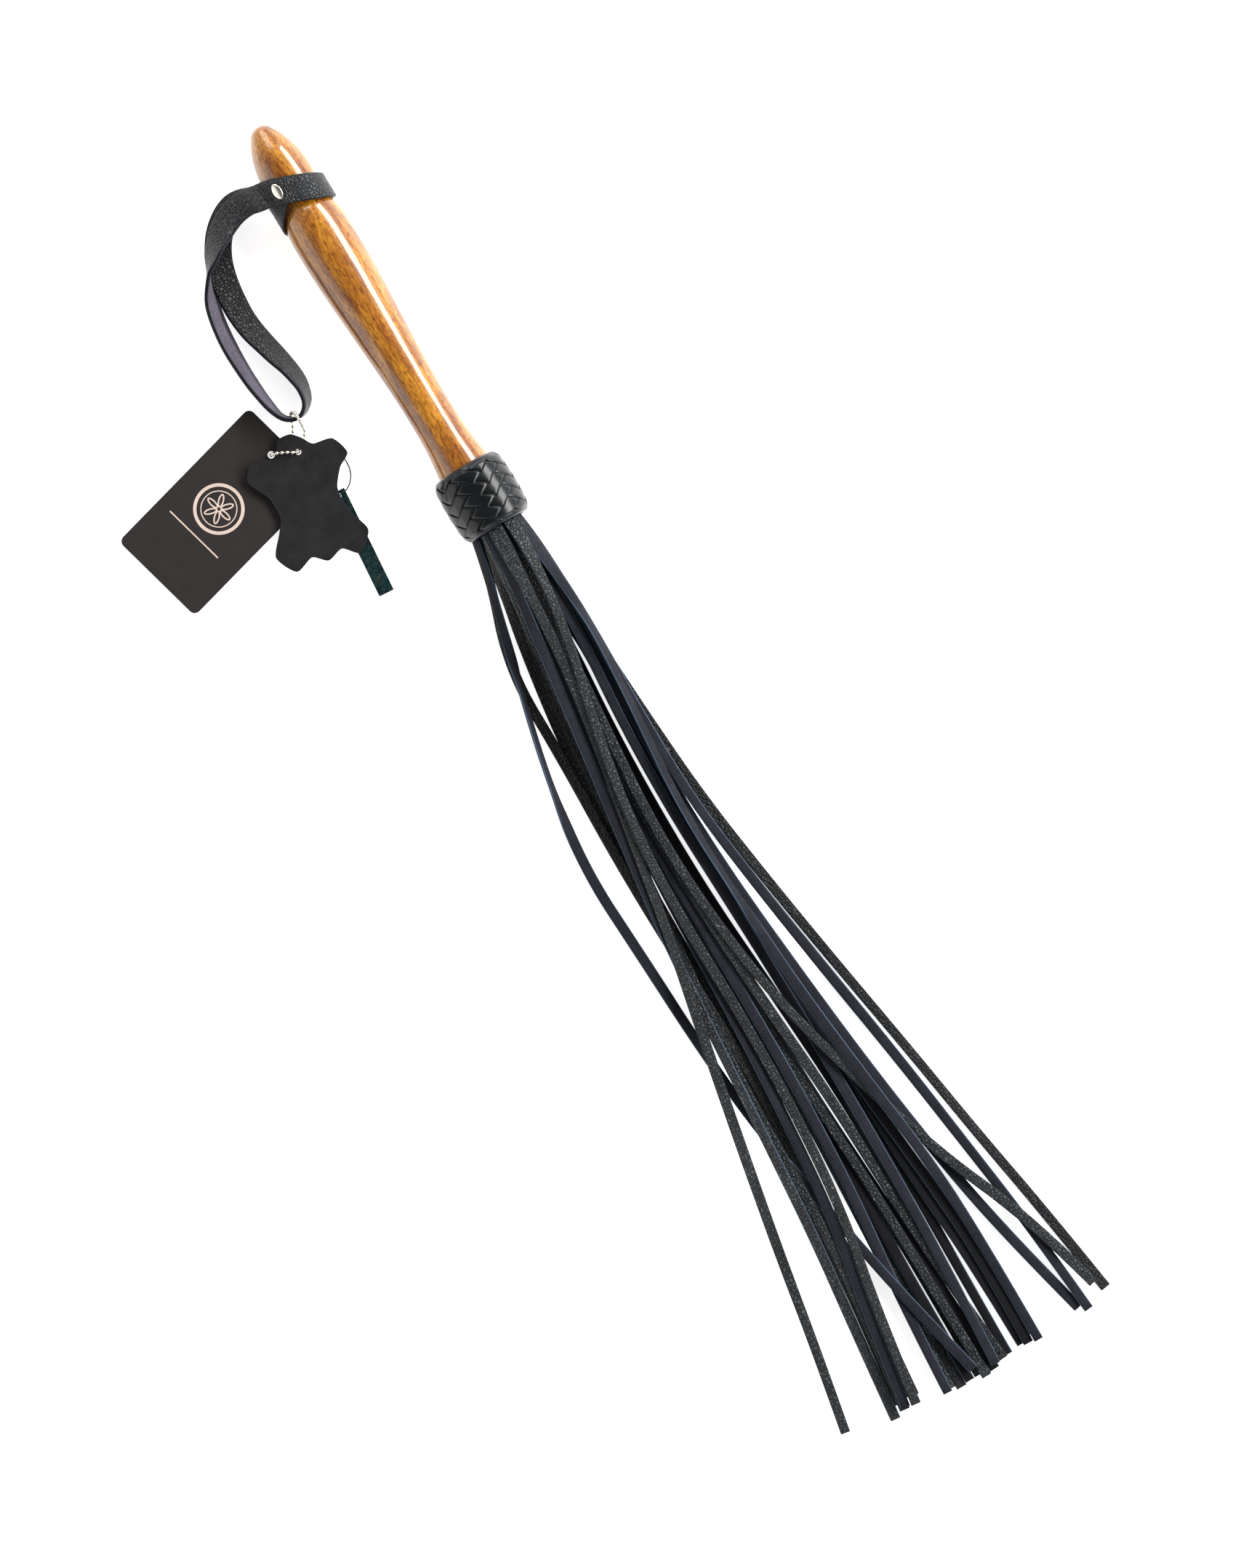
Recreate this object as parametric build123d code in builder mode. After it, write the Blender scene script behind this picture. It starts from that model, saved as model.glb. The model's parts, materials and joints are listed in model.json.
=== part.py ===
from build123d import *
import math
import os

# A multi-tail leather whip lying on a flat surface.  The handle's axis runs along +X, from the butt
# to the tails, and +Z is up.  z = 0 is the surface the whip lies on.  All sizes are in millimetres.

# ---- driving dimensions ------------------------------------------------------------------------
mouth_x = -122.02           # where the tails leave the braided collar, in the part's own frame
mouth_y = 48.46
mouth_z = 18.72             # height of the handle's axis at the collar's mouth
axis_tilt = 0.898           # the handle slopes down to its butt, degrees

tenon_r = 8.0               # turned end of the handle inside the collar
tenon_end = -7.0
shoulder = -31.0            # where the handle steps down to its tenon
butt_tip = -222.0
butt_flat = 1.0             # radius of the small flat that the lathe leaves at the butt

collar_start = -33.0        # the braided collar, along the axis
collar_r = 18.4
rim_r = 13.7

strap_width = 13.0
strap_thick = 2.0
band_slant = 21.8           # the neck band crosses the handle at this slant, degrees
band_s = -187.0
band_clear = 0.35
neck_r = 13.3               # the handle with room for the band, under the rivet

rivet_s = -190.0
rivet_angle = 29.0          # round the neck from the top, towards -Y, degrees
cap_r = 4.1                 # the oval cap's half length, along the handle
cap_across_r = 2.6
cap_t = 1.25
post_r = 1.5
post_head_r = 3.0

bead_r = 0.95
bead_pitch = 2.5
link_r = 0.3

card_w = 50.8
card_l = 88.9
card_t = 0.6
hide_t = 1.6
foil_w = 7.6
foil_l = 54.0
foil_t = 0.35
wire_r = 0.35

tail_w = 5.0
tail_t = 1.1
layer = 1.6                 # height of one layer of tails lying on another
tail_gap = 0.45             # sideways room that two tails of one layer keep

os.makedirs("parts", exist_ok=True)
tilt = math.radians(axis_tilt)
mouth = Vector(mouth_x, mouth_y, mouth_z)
axis_dir = Vector(math.cos(tilt), 0, math.sin(tilt))
handle_axis = Axis((mouth.X, mouth.Y, mouth.Z), (axis_dir.X, axis_dir.Y, axis_dir.Z))
# local x runs along the handle's axis from the mouth, local y is the radius
profile_plane = Plane(origin=mouth, x_dir=axis_dir, z_dir=(0, -1, 0))


def at(x, y, z):
    """A point given in plan from the collar's mouth, and in height from the surface below."""
    return (mouth_x + x, mouth_y + y, z)


def on_axis(s):
    """The point of the handle's axis at distance s from the mouth."""
    return mouth + axis_dir * s


def cross_plane(s):
    """A plane square to the handle's axis, with its local y up."""
    return Plane(origin=on_axis(s), x_dir=(0, 1, 0), z_dir=axis_dir)


def save(piece, label):
    piece.part.label = label
    export_step(piece.part, f"parts/{label}.step")


def radial_plane(s, angle, distance):
    """A plane square to a radius of the handle, angle degrees from the top towards -Y."""
    a = math.radians(angle)
    up = Vector(-math.sin(tilt), 0, math.cos(tilt))
    out = up * math.cos(a) + Vector(0, -1, 0) * math.sin(a)
    return Plane(origin=on_axis(s) + out * distance, x_dir=axis_dir, z_dir=out)


def arc_radii(points):
    """The largest arc that each corner's two runs allow."""
    radii = []
    for before, here, after in zip(points, points[1:], points[2:]):
        turn = math.radians((here - before).get_angle(after - here))
        run = min((here - before).length, (after - here).length)
        radii.append(0.45 * run / math.tan(turn / 2))
    return radii


tack_s = -10.5
tack_angles = (45, 135, 225, 315)
tack_r = 0.6
tack_clear = 0.03
tack_depth = 4.0


def ring(start, end, inner, outer, pierced=False):
    """A sleeve round the handle's axis, with or without the holes of the four tacks."""
    with BuildPart() as sleeve:
        with BuildSketch(cross_plane(start)):
            Circle(outer)
            Circle(inner, mode=Mode.SUBTRACT)
        extrude(amount=end - start)
        if pierced:
            for angle in tack_angles:
                with BuildSketch(radial_plane(tack_s, angle, tack_depth)):
                    Circle(tack_r + tack_clear)
                extrude(amount=2 * tenon_r, mode=Mode.SUBTRACT)
    return sleeve


# ---- handle ------------------------------------------------------------------------------------
with BuildPart() as handle:
    with BuildSketch(profile_plane):
        with BuildLine():
            Spline(
                (butt_tip, butt_flat), (-218.6, 5.2), (-212, 9.1), (-203, 12.0), (-194, 12.9), (-188.5, 12.1),
                (-184, 10.8), (-180, 11.3), (-175, 13.2), (-168, 14.6), (-158, 15.0), (-140, 14.7),
                (-115, 13.3), (-90, 11.8), (-68, 11.0), (-50, 11.3), (-40, 12.3), (shoulder, 13.4),
            )
            Polyline((shoulder, 13.4), (shoulder, tenon_r), (tenon_end, tenon_r), (tenon_end, 0),
                     (butt_tip, 0), (butt_tip, butt_flat))
        make_face()
    revolve(axis=handle_axis)
    for angle in tack_angles:
        with BuildSketch(radial_plane(tack_s, angle, tack_depth)):
            Circle(tack_r + tack_clear)
        extrude(amount=tenon_r, mode=Mode.SUBTRACT)
save(handle, "handle")

# ---- the fall's rolled header, its tacks, its binding and the padding over them ------------------
header_end = -6.0
header_radii = {"header_inner": (8.1, 10.0), "header_outer": (10.1, 12.0)}
for label, (inner, outer) in header_radii.items():
    header = ring(shoulder + 0.2, header_end, inner, outer, pierced=True)
    save(header, label)

tack_head_r = 1.5
with BuildPart() as tacks:
    for angle in tack_angles:
        with BuildSketch(radial_plane(tack_s, angle, tack_depth + 0.1)):
            Circle(tack_r)
        extrude(amount=12.15 - tack_depth - 0.1)
        with BuildSketch(radial_plane(tack_s, angle, 12.12)):
            Circle(tack_head_r)
        extrude(amount=0.5)
save(tacks, "header_tacks")

binding_r = 12.8
binding = ring(-26.0, -14.0, 12.05, binding_r)
save(binding, "binding_thread")

with BuildPart() as padding:
    with BuildSketch(profile_plane):
        with BuildLine():
            Polyline((-3.2, 14.6), (-3.2, 12.9), (-29.4, 12.9), (-29.4, 14.8))
            ThreePointArc((-29.4, 14.8), (-16.5, 16.5), (-3.2, 14.6))
        make_face()
    revolve(axis=handle_axis)
save(padding, "collar_padding")

with BuildPart() as collar:
    with BuildSketch(profile_plane):
        with BuildLine():
            Spline((collar_start, 14.1), (-31.4, 16.4), (-27, 17.9), (-16.5, collar_r), (-6, 17.9),
                   (-1.6, 16.5), (0, 14.3))
            Line((0, 14.3), (0, 13.2))
            Spline((0, 13.2), (-3.0, 15.1), (-7, 16.3), (-16.5, 16.8), (-26, 16.3), (-29.7, 15.3),
                   (collar_start, rim_r))
            Line((collar_start, rim_r), (collar_start, 14.1))
        make_face()
    revolve(axis=handle_axis)
save(collar, "braided_collar")

# ---- the uncut skirt of the fall, which turns with the tails --------------------------------------
skirt = ring(1.2, 8.0, 7.6, 11.4)
save(skirt, "fall_skirt")

# ---- wrist strap: the band round the neck ---------------------------------------------------------
slant = math.radians(band_slant)
band_normal = Vector(math.cos(slant) * axis_dir.X, -math.sin(slant), math.cos(slant) * axis_dir.Z)
band_in = ((-204, 13.2), (-192, neck_r), (-184, 13.2), (-176, 13.9), (-168, 15.2))
with BuildPart() as band:
    with BuildSketch(profile_plane):
        with BuildLine():
            Polyline(*[(s, r + band_clear) for s, r in band_in])
            Polyline(*[(s, r + band_clear + strap_thick) for s, r in band_in])
            Line((band_in[0][0], band_in[0][1] + band_clear),
                 (band_in[0][0], band_in[0][1] + band_clear + strap_thick))
            Line((band_in[-1][0], band_in[-1][1] + band_clear),
                 (band_in[-1][0], band_in[-1][1] + band_clear + strap_thick))
        make_face()
    revolve(axis=handle_axis)
    split(bisect_by=Plane(origin=on_axis(band_s) - band_normal * strap_width / 2, z_dir=band_normal),
          keep=Keep.TOP)
    split(bisect_by=Plane(origin=on_axis(band_s) + band_normal * strap_width / 2, z_dir=band_normal),
          keep=Keep.BOTTOM)
    with BuildSketch(radial_plane(rivet_s, rivet_angle, 12.0)):
        Circle(post_r + 0.1)
    extrude(amount=6, mode=Mode.SUBTRACT)
    with BuildSketch(radial_plane(rivet_s, rivet_angle, 12.0)):
        Circle(post_head_r + 0.2)
    extrude(amount=2.4, mode=Mode.SUBTRACT)
save(band, "strap_neck_band")

band_outer = neck_r + band_clear + strap_thick
post_low = neck_r + band_clear + 0.1
with BuildPart() as rivet_post:
    with BuildSketch(radial_plane(rivet_s, rivet_angle, post_low)):
        Circle(post_head_r)
    extrude(amount=0.5)
    with BuildSketch(radial_plane(rivet_s, rivet_angle, post_low)):
        Circle(post_r)
    extrude(amount=band_outer + 0.3 - post_low)
save(rivet_post, "rivet_post")

cap_plane = radial_plane(rivet_s, rivet_angle, band_outer + 0.35)
with BuildPart() as rivet_cap:
    with BuildSketch(cap_plane):
        Ellipse(cap_r, cap_across_r)
    extrude(amount=cap_t)
    outward = Axis((0, 0, 0), tuple(cap_plane.z_dir))
    domed = rivet_cap.edges().filter_by(GeomType.ELLIPSE).sort_by(outward)[-1]
    fillet(domed, radius=0.9)
save(rivet_cap, "rivet_cap")

# ---- wrist strap: the loop -------------------------------------------------------------------------
# one section each: x, y (plan, from the mouth), height, and the way from its lower to its upper edge
loop_sections = [
    (-192.5, -17.8, 23.2, (1.0, -0.25, 0.10)),
    (-194.3, -22.5, 15.6, (1.0, -0.12, 0.10)),
    (-193.6, -31.0, 12.4, (1.0, 0.25, 0.20)),
    (-189.6, -39.5, 11.4, (0.9, 0.45, 0.45)),
    (-183.2, -48.6, 10.6, (0.6, 0.35, 0.85)),
    (-174.0, -57.2, 8.3, (0.15, -0.12, 1.0)),
    (-160.0, -63.0, 7.2, (-0.05, -0.54, 0.95)),
    (-142.0, -65.8, 6.9, (-0.02, -0.56, 0.97)),
    (-122.0, -65.8, 6.9, (0.02, -0.44, 1.0)),
    (-107.5, -64.3, 7.6, (0.05, -0.30, 1.0)),
    (-98.2, -62.2, 8.8, (0.10, -0.10, 1.0)),
    (-93.6, -56.6, 9.6, (0.05, 0.0, 1.0)),
    (-95.4, -50.0, 9.2, (0.0, -0.15, 1.0)),
    (-102.2, -45.8, 8.0, (-0.02, -0.35, 1.0)),
    (-113.0, -45.6, 6.9, (0.02, -0.60, 0.9)),
    (-128.0, -49.4, 5.6, (0.10, -0.85, 0.75)),
    (-145.0, -53.4, 4.6, (0.02, -0.95, 0.55)),
    (-162.0, -52.8, 3.4, (0.05, -1.0, 0.32)),
    (-177.0, -49.6, 2.2, (-0.2, -1.0, 0.12)),
    (-188.5, -42.8, 2.0, (-0.6, -0.8, 0.05)),
    (-195.6, -33.5, 2.6, (-0.95, -0.4, 0.05)),
    (-196.8, -25.5, 6.2, (-1.0, -0.05, 0.05)),
    (-193.4, -19.4, 13.4, (-1.0, 0.1, 0.05)),
]


def loop_plane(i):
    """The plane of one section: its x along the strap's width, its normal along the strap."""
    here = Vector(*at(*loop_sections[i][:3]))
    before = Vector(*at(*loop_sections[max(i - 1, 0)][:3]))
    after = Vector(*at(*loop_sections[min(i + 1, len(loop_sections) - 1)][:3]))
    along = (after - before).normalized()
    width = Vector(*loop_sections[i][3])
    width = (width - along * width.dot(along)).normalized()
    return Plane(origin=here, x_dir=width, z_dir=along)


with BuildPart() as wrist_loop:
    for i in range(len(loop_sections)):
        with BuildSketch(loop_plane(i)):
            Rectangle(strap_width, strap_thick)
    loft(ruled=True)
save(wrist_loop, "wrist_loop")

# ---- ball chain, its connector and the tags --------------------------------------------------------
card_hole = (-86.0, -75.3)
hide_hole = (-80.4, -63.5)
card_edge = (0.970, 0.248)              # plan direction of the card's short edges
card_corner_r = 3.2
card_lift = 2.05                        # the card's underside at its hole, over the chain below it
card_reach = 80.6                       # from the hole to the card's far edge, which touches down
card_slope = math.asin(card_lift / card_reach)
hide_low = 3.75                         # the hide's underside at its hole
hide_slope = math.radians(2.1)          # it slopes down towards +X
chain_route = [
    (-83.9, -58.3, 1.0), (-87.6, -55.7, 1.2), (-90.3, -55.4, 5.5), (-90.8, -55.2, 15.0),
    (-93.4, -55.1, 18.5), (-96.8, -55.4, 14.8), (-98.1, -56.4, 5.0), (-97.6, -57.8, 1.2),
    (-92.6, -59.4, 1.0), (-88.9, -61.3, 1.0), (-87.2, -66.2, 1.0), (-86.2, -73.4, 1.0),
    (-86.0, -75.6, 2.4), (-85.9, -75.2, 5.9), (-85.0, -72.3, 7.1), (-83.0, -68.2, 7.0),
    (-80.9, -64.9, 7.0), (-80.5, -63.8, 5.8), (-80.5, -63.3, 3.4), (-81.0, -62.8, 1.2),
]
askew = Vector(0.3, 0.5, 0.8)           # no run of the chain has this direction
with BuildPart() as ball_chain:
    points = [Vector(*at(*p)) for p in chain_route]
    with BuildLine() as chain_line:
        Polyline(*points)
    path = chain_line.wires()[0]
    beads = int(path.length / bead_pitch)
    places = [path @ (i / beads) for i in range(beads + 1)]
    places.append(places[-1] * 2 - places[-2])
    for here, there in zip(places, places[1:]):
        along = there - here
        # the link runs on into the next bead, except at the chain's end
        link_end = along.length - bead_r / 2 if there is not places[-1] else bead_r
        with BuildSketch(Plane(origin=here, x_dir=along, z_dir=along.cross(askew))):
            with BuildLine():
                Polyline((-0.95 * bead_r, 0), (-0.95 * bead_r, link_r), (-bead_r / 2, 0.85 * bead_r),
                         (0, bead_r), (bead_r / 2, 0.85 * bead_r), (0.95 * bead_r, link_r),
                         (link_end, link_r), (link_end, 0), close=True)
            make_face()
        revolve(axis=Axis(tuple(here), tuple(along.normalized())))
save(ball_chain, "ball_chain")

clasp_from = Vector(*at(-83.4, -59.35, 1.15))
clasp_to = Vector(*at(-81.5, -61.55, 1.15))
with BuildPart() as clasp:
    with BuildSketch(Plane(origin=clasp_from, z_dir=(clasp_to - clasp_from))):
        Circle(1.1)
    extrude(amount=(clasp_to - clasp_from).length)
save(clasp, "chain_connector")

short = Vector(card_edge[0], card_edge[1], 0).normalized()
long_back = Vector(-short.Y * math.cos(card_slope), short.X * math.cos(card_slope), math.sin(card_slope))
card_plane = Plane(origin=at(*card_hole, card_lift), x_dir=short, z_dir=short.cross(long_back))
with BuildPart() as card:
    with BuildSketch(card_plane):
        with Locations((2.2, -35.9)):
            RectangleRounded(card_w, card_l, card_corner_r)
        Circle(1.75, mode=Mode.SUBTRACT)
    extrude(amount=card_t)
save(card, "swing_card")

hide_plane = Plane(origin=at(*hide_hole, hide_low), x_dir=(math.cos(hide_slope), 0, -math.sin(hide_slope)),
                   z_dir=(math.sin(hide_slope), 0, math.cos(hide_slope)))
hide_outline = [
    (-89.4, -62.6), (-85.0, -58.8), (-80.0, -55.6), (-77.5, -46.5), (-68.3, -43.8), (-64.3, -50.2),
    (-57.0, -56.3), (-51.0, -57.6), (-42.0, -56.9), (-31.6, -54.4), (-24.2, -63.0), (-30.6, -69.6),
    (-28.9, -77.9), (-34.4, -84.0), (-32.1, -93.6), (-42.7, -98.6), (-51.5, -91.5), (-57.5, -87.2),
    (-68.4, -86.7), (-80.2, -91.6), (-86.8, -85.7), (-83.8, -74.6), (-90.0, -69.0),
]
with BuildPart() as hide:
    with BuildSketch(hide_plane):
        with BuildLine():
            Polyline(*[(x - hide_hole[0], y - hide_hole[1]) for x, y in hide_outline], close=True)
        make_face()
        fillet(vertices(), radius=1.6)
        Circle(1.8, mode=Mode.SUBTRACT)
    extrude(amount=hide_t)
save(hide, "hide_tag")

foil_hole = (-52.6, -57.8)
foil_low = 0.9
foil_angle = -5.2
with BuildPart() as foil:
    foil_long = Vector(1, 0, 0).rotate(Axis.Z, foil_angle)
    with BuildSketch(Plane(origin=at(*foil_hole, foil_low), x_dir=foil_long)):
        with Locations((foil_l / 2 - 2.4, 0)):
            Rectangle(foil_w, foil_l, rotation=90)
        Circle(1.2, mode=Mode.SUBTRACT)
    extrude(amount=foil_t)
save(foil, "foil_strip")

wire_route = [
    (-78.5, -57.2, 1.6), (-74.5, -50.2, 1.2), (-67.0, -45.9, 0.6), (-58.5, -47.0, 0.5), (-53.4, -52.0, 1.4),
    (-52.6, -56.4, 1.9), (-52.7, -58.2, 0.47), (-57.5, -60.2, 0.45), (-68.0, -60.0, 1.2), (-78.0, -59.0, 1.6),
]
with BuildPart() as wire_loop:
    points = [Vector(*at(*p)) for p in wire_route]
    with BuildLine() as wire_line:
        FilletPolyline(*points, radius=arc_radii(points))
    with BuildSketch(Plane(origin=points[0], z_dir=points[1] - points[0])):
        Circle(wire_r)
    sweep(path=wire_line.wires()[0])
save(wire_loop, "strip_loop")

# ---- tails ------------------------------------------------------------------------------------------
# stations are distances from the mouth; each tail has its sideways places there and at its cut end,
# its length in X, and its layer, counted up from the surface
stations = [14, 60, 110, 160, 210, 262, 314, 366, 414]
tails = {
    "tail_01": ([-3, -6, -13.5, -23.5, -32.5, -44.2, -55.4, -66, -74.8, -83.2], 454.4, 11),
    "tail_02": ([-6, -13, -20, -27.5, -34.5, -39, -43, -47.5, -53.7, -59.4], 461.2, 10),
    "tail_03": ([-9, -15, -20.5, -25.5, -30.5, -37.3, -40.4, -41.4, -46.8, -53.3], 459.4, 8),
    "tail_04": ([-7, -11, -16.5, -21, -24.2, -26.5, -30.2, -35.6, -45.4, -52.3], 458.5, 9),
    "tail_05": ([-0.5, -3.5, -9.3, -14.8, -17.4, -18.2, -20.5, -24, -27.2, -29.4], 462.3, 4),
    "tail_06": ([-5, -8.5, -12.5, -15.5, -16.5, -16.8, -18.3, -21.9, -27.8, -31.5], 463.2, 6),
    "tail_07": ([6.5, 1.2, -11.9, -20.6, -23.0, -22.5, -24.8, -30.4, -40.4, -47.3], 459.7, 12),
    "tail_08": ([-6, -10, -14.5, -18, -19.5, -20.3, -20.4, -20.8, -23.4, -24.5], 464.5, 2),
    "tail_09": ([-4, -7, -12, -15, -15.7, -15.6, -15.6, -17, -19.2, -19.5], 463.7, 3),
    "tail_10": ([-16, -28.8, -42, -50.3, -48.5, -47.1, -43.3, -34, -25.6, -15.3], 459.8, 7),
    "tail_11": ([-6.5, -10, -13.5, -16.5, -17.5, -17, -15.2, -13.2, -13.2, -14.5], 463.8, 0),
    "tail_12": ([-5, -8, -11, -13.5, -14.5, -15.2, -13.6, -11.9, -11.8, -11.5], 466.0, 5),
    "tail_13": ([-2, -5, -8.5, -11, -12.5, -13, -12.4, -10.5, -8.6, -6.5], 465.1, 1),
    "tail_14": ([7, 6.5, 1.5, -0.4, 0.8, 1.7, 1.4, 0.5, -1.5, -4.9], 463.2, 8),
    "tail_15": ([-1, -4, -9.5, -13, -12.2, -9.8, -6.5, -5.8, -4.2, -0.4], 462.9, 7),
    "tail_16": ([4, 5.5, 3.5, 2.2, 3, 4.6, 6.6, 5.4, 3.6, 2.6], 462.5, 1),
    "tail_17": ([3, 5, 5.5, 4.5, 5.5, 7.5, 7.8, 7.6, 10.8, 10.6], 461.7, 2),
    "tail_18": ([5, 7, 4.5, 2.5, 4, 6.2, 8.2, 12.7, 15.7, 13.6], 462.9, 3),
    "tail_19": ([10, 13.2, 9.5, 4.2, 5.2, 7.6, 12.5, 18.3, 19.6, 18.6], 464.0, 10),
    "tail_20": ([7.5, 9.5, 7.5, 6, 8, 12.2, 16.9, 23.3, 31.7, 42.7], 460.9, 4),
    "tail_21": ([11.5, 12.5, 10.8, 10.8, 16.3, 23.4, 30.9, 37.2, 42.9, 46.6], 464.0, 5),
    "tail_22": ([1, -2, -7, -11.5, -10.3, -3.8, 9.4, 25.0, 45.2, 54.9], 454.3, 9),
    "tail_23": ([9, 11, 12.6, 15.3, 21.5, 29.2, 37.4, 44.8, 52.7, 58.8], 459.5, 2),
    "tail_24": ([-15, -31.8, -32, -34.2, -34.5, -33, -33.5, -36.5, -41.5, -46.0], 456.0, 2),
    "tail_25": ([-9, -16.5, -24, -28, -29, -31.2, -35.2, -39, -45, -50], 455.0, 1),
    "tail_26": ([1, 0, -4.5, -6.6, -6.5, -3.4, -1.2, -1.5, -2.8, -3.5], 461.0, 0),
    "tail_27": ([-12, -21, -28.5, -31.8, -33.5, -36, -39.5, -42.8, -48.2, -54], 456.0, 0),
    "tail_28": ([8, 9.5, 6.8, 3.6, 5, 8.6, 13, 18, 19.2, 18.3], 460.0, 0),
}
bundle_r = 11.0             # radius of the bunch where it leaves the collar
tail_rest = 0.7             # height of the middle of a tail that lies on the surface
droop = 2.2                 # the lowest tails at the second station, not yet down on the surface


def resting(side):
    """The lowest heights a tail can have: in the collar's mouth, then falling, then on the surface."""
    inside = mouth_z - bundle_r * math.sqrt(max(0.2, 1 - (side[0] / (bundle_r + 1)) ** 2))
    return [inside, droop] + [tail_rest] * (len(side) - 2)


def nearest(one, other, k):
    """The sideways distance at which two tails pass each other between stations k and k + 1."""
    here = one[k] - other[k]
    there = one[k + 1] - other[k + 1]
    return 0 if here * there < 0 else min(abs(here), abs(there))


def drape(all_tails):
    """Heights of every tail at the stations, each one laid on the lower layers that it crosses."""
    heights = {}
    for name, (side, _, level) in sorted(all_tails.items(), key=lambda item: item[1][2]):
        z = resting(side)
        for other in heights:
            other_side, _, other_level = all_tails[other]
            for k in range(len(stations)):
                if other_level < level and nearest(side, other_side, k) < tail_w + tail_gap:
                    z[k] = max(z[k], heights[other][k] + layer)
                    z[k + 1] = max(z[k + 1], heights[other][k + 1] + layer)
        heights[name] = z
    return heights


heights = drape(tails)
for name, (side, end, level) in tails.items():
    route = [Vector(*at(x, y, z)) for x, y, z in zip(stations + [end], side, heights[name])]
    radii = arc_radii(route)
    with BuildPart() as tail:
        with BuildLine() as tail_line:
            FilletPolyline(*route, radius=radii)
        length = tail_line.wires()[0].length
        start = route[1] - route[0]
        with BuildSketch(Plane(origin=route[0], x_dir=Vector(0, 0, 1).cross(start), z_dir=start)):
            Rectangle(tail_w, tail_t)
        sweep(path=tail_line.wires()[0])
    ratio = tail.part.volume / (tail_w * tail_t * length)
    print(f"{name} length {length:.1f} least radius {min(radii):.0f} volume/section*length {ratio:.3f}"
          f" top {max(heights[name]):.1f}")
    save(tail, name)
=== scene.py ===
import bpy
import json
import math
import random
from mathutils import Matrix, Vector, noise


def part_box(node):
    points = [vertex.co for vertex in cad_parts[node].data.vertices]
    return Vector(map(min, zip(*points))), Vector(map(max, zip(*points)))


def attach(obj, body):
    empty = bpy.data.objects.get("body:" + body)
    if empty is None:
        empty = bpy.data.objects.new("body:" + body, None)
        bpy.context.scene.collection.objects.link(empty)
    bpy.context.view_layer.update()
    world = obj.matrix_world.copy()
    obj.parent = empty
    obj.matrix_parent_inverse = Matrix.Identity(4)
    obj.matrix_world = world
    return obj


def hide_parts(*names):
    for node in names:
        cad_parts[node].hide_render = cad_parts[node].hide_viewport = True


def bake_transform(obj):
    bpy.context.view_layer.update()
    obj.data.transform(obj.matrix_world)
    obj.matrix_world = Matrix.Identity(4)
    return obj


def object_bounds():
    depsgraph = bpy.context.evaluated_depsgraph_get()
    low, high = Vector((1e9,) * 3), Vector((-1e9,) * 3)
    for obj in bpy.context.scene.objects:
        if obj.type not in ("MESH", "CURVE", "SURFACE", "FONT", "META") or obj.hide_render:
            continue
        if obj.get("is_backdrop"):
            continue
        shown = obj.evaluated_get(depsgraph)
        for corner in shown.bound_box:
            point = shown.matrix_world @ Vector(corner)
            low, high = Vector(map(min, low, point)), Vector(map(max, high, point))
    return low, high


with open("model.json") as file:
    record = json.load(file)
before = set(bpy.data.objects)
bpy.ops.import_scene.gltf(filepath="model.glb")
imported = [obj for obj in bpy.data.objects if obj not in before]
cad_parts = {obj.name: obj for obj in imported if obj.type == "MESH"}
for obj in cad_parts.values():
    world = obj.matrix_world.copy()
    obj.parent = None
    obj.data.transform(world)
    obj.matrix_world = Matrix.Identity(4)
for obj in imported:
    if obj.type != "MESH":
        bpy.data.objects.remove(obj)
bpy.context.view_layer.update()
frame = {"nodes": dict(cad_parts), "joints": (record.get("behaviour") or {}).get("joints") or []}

# A multi-tail leather whip.  Everything is in metres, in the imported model's frame.  The handle's axis
# and the place where the tails leave the collar come from the strap's joint, which turns about them.
MM = 0.001
joints = {j["name"]: j for j in frame["joints"]}
mouth = Vector(joints["strap_turn"]["pos_m"])
along = (-Vector(joints["strap_turn"]["axis"])).normalized()
up_of_axis = Vector((-along.z, 0, along.x))
side_of_axis = Vector((0, -1, 0))


def at(x, y, z):
    """A point in mm: in plan from the collar's mouth, in height from the floor."""
    return Vector((mouth.x + x * MM, mouth.y + y * MM, z * MM))


def polar(s, r, angle):
    """A point round the handle's axis, angle in degrees from the top towards -Y, s and r in mm."""
    a = math.radians(angle)
    return mouth + along * (s * MM) + (up_of_axis * math.cos(a) + side_of_axis * math.sin(a)) * (r * MM)


def smooth(x):
    x = min(1.0, max(0.0, x))
    return x * x * (3 - 2 * x)


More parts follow.
